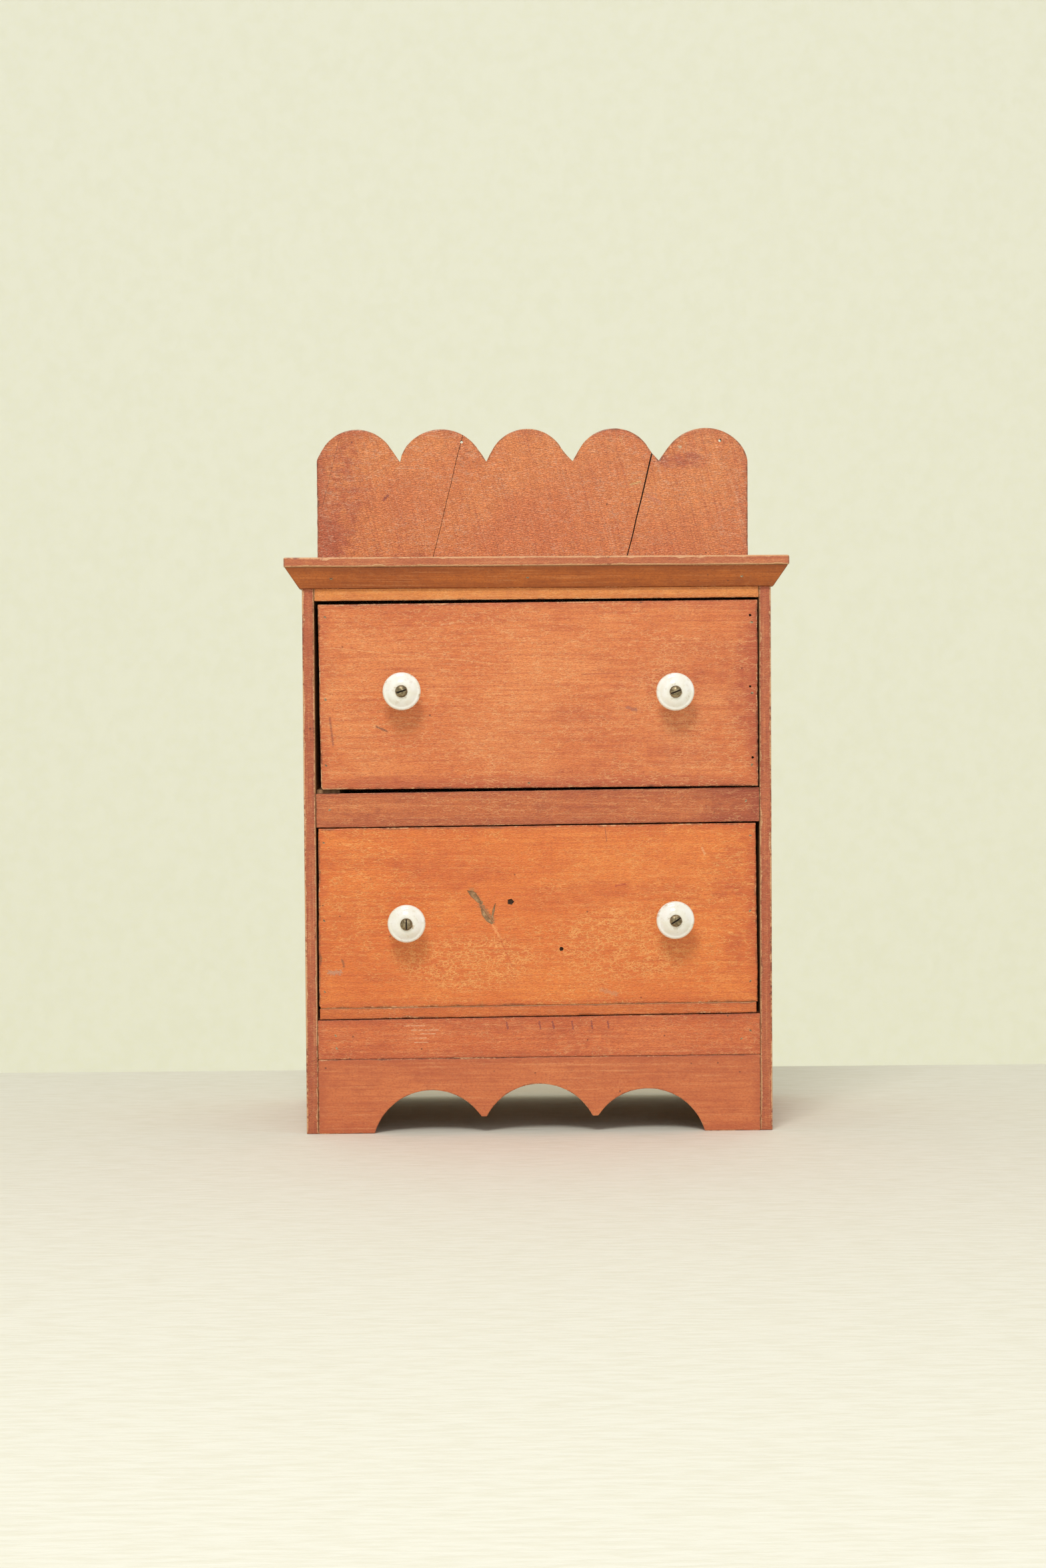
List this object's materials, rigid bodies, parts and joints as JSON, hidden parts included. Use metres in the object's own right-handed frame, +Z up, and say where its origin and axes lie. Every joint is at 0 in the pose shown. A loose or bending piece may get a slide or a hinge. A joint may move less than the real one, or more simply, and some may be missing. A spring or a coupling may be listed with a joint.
{
  "type": "miniature chest of drawers",
  "caption": "Doll-size pine chest of drawers with a scalloped splashback, bevelled moulding, arched apron and white porcelain knobs; the drawers slide out.",
  "frame": {"origin": "middle of the footprint's bounding box, on the floor", "axes": "+X to the right of someone facing the drawers, +Y to the back, +Z up"},
  "size_m": [0.3374, 0.2018, 0.4858],
  "materials": {
    "case_wood": "old red-brown stain under crazed varnish, satin",
    "front_wood": "old orange stain under crazed varnish, satin",
    "splash_wood": "old red-brown stain, worn and split",
    "bare_pine": "unfinished pine, matte, browned by age",
    "porcelain": "white glaze with a little grime",
    "screw_metal": "tarnished, dull",
    "nail_iron": "rusted and painted over, matte"
  },
  "bodies": {
    "carcass": {"apron": "case_wood", "back_nails": "nail_iron", "back_panel": "splash_wood", "bottom_rail": "case_wood", "front_moulding": "case_wood", "left_moulding": "case_wood", "left_side": "case_wood", "lower_left_runner": "bare_pine", "lower_right_runner": "bare_pine", "middle_rail": "case_wood", "moulding_nails": "nail_iron", "rail_nails": "nail_iron", "right_moulding": "case_wood", "right_side": "case_wood", "runner_nails": "nail_iron", "side_nails": "nail_iron", "top_board": "case_wood", "top_nails": "nail_iron", "top_rail": "case_wood", "upper_left_runner": "bare_pine", "upper_right_runner": "bare_pine"},
    "upper_drawer": {"upper_drawer_back": "bare_pine", "upper_drawer_bottom": "bare_pine", "upper_drawer_front": "front_wood", "upper_drawer_left": "bare_pine", "upper_drawer_nails": "nail_iron", "upper_drawer_right": "bare_pine", "upper_knob_screws": "screw_metal", "upper_left_knob": "porcelain", "upper_right_knob": "porcelain"},
    "lower_drawer": {"lower_drawer_back": "bare_pine", "lower_drawer_bottom": "bare_pine", "lower_drawer_front": "front_wood", "lower_drawer_left": "bare_pine", "lower_drawer_nails": "nail_iron", "lower_drawer_right": "bare_pine", "lower_knob_screws": "screw_metal", "lower_left_knob": "porcelain", "lower_right_knob": "porcelain"}
  },
  "joints": [
    {"name": "upper_drawer_slide", "type": "slide", "parent": "carcass", "child": "upper_drawer", "axis": [0, -1, 0], "range_m": [0, 0.12]},
    {"name": "lower_drawer_slide", "type": "slide", "parent": "carcass", "child": "lower_drawer", "axis": [0, -1, 0], "range_m": [0, 0.12]}
  ]
}
